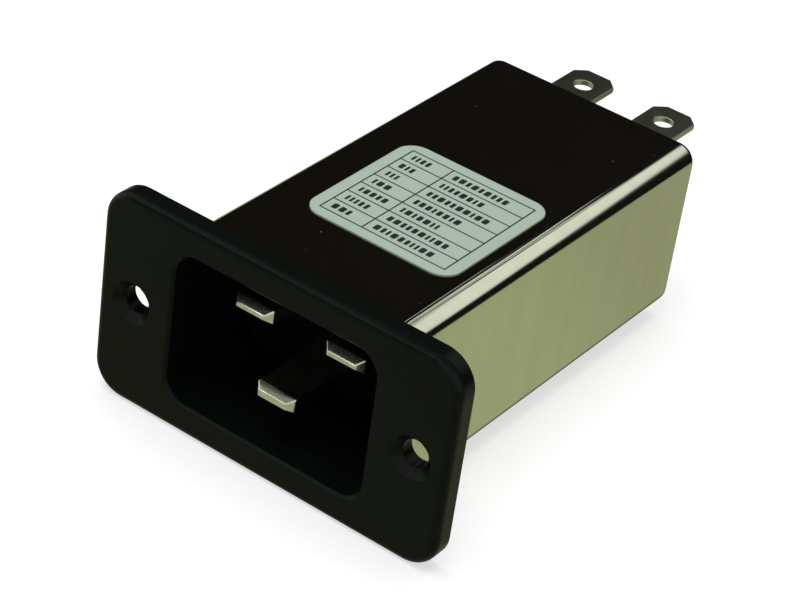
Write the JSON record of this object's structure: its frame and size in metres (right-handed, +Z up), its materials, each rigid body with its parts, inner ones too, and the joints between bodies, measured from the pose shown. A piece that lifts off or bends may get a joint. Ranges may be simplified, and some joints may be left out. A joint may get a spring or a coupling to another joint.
{
  "type": "emi line filter",
  "caption": "Power entry filter: recessed appliance inlet in a screw-on flange, drawn metal can behind it, push-on tabs at the far end.",
  "frame": {"origin": "midway between the two screw holes, on the flange face that meets the panel", "axes": "+X along the flange towards the line side, +Y from the panel into the equipment, +Z up to the label side"},
  "size_m": [0.05, 0.0758, 0.028],
  "materials": {
    "housing_black": "satin moulded thermoplastic, almost black",
    "blade_nickel": "bright nickel plating with bevelled tips",
    "can_plate": "bright tin plate, near mirror, faint drawing streaks",
    "liner_film": "smooth insulating card",
    "board_laminate": "green solder mask on glass laminate",
    "x_capacitor_case": "yellow moulded box",
    "resistor_coating": "beige coating",
    "core_coating": "green coating on ferrite",
    "divider_plastic": "natural moulded plastic",
    "enamelled_copper": "enamelled copper wire",
    "y_capacitor_case": "blue moulded box",
    "plate_black": "satin moulded thermoplastic, black",
    "tab_tin": "dull tin plating",
    "rivet_nickel": "plated steel",
    "lug_tin": "tin plating",
    "solder": "bright solder",
    "label_film": "matt printed film, pale grey-green"
  },
  "bodies": {
    "root": {"inlet_housing": "housing_black", "line_blade": "blade_nickel", "neutral_blade": "blade_nickel", "earth_blade": "blade_nickel", "can": "can_plate", "insulating_liner": "liner_film", "circuit_board": "board_laminate", "x_capacitor": "x_capacitor_case", "bleed_resistor": "resistor_coating", "choke_core": "core_coating", "choke_divider": "divider_plastic", "line_winding": "enamelled_copper", "neutral_winding": "enamelled_copper", "line_y_capacitor": "y_capacitor_case", "neutral_y_capacitor": "y_capacitor_case", "terminal_plate": "plate_black", "load_line_tab": "tab_tin", "load_neutral_tab": "tab_tin", "load_earth_tab": "tab_tin", "earth_rivet": "rivet_nickel", "earth_lug": "lug_tin", "solder_joints": "solder", "rating_label": "label_film"}
  },
  "joints": []
}
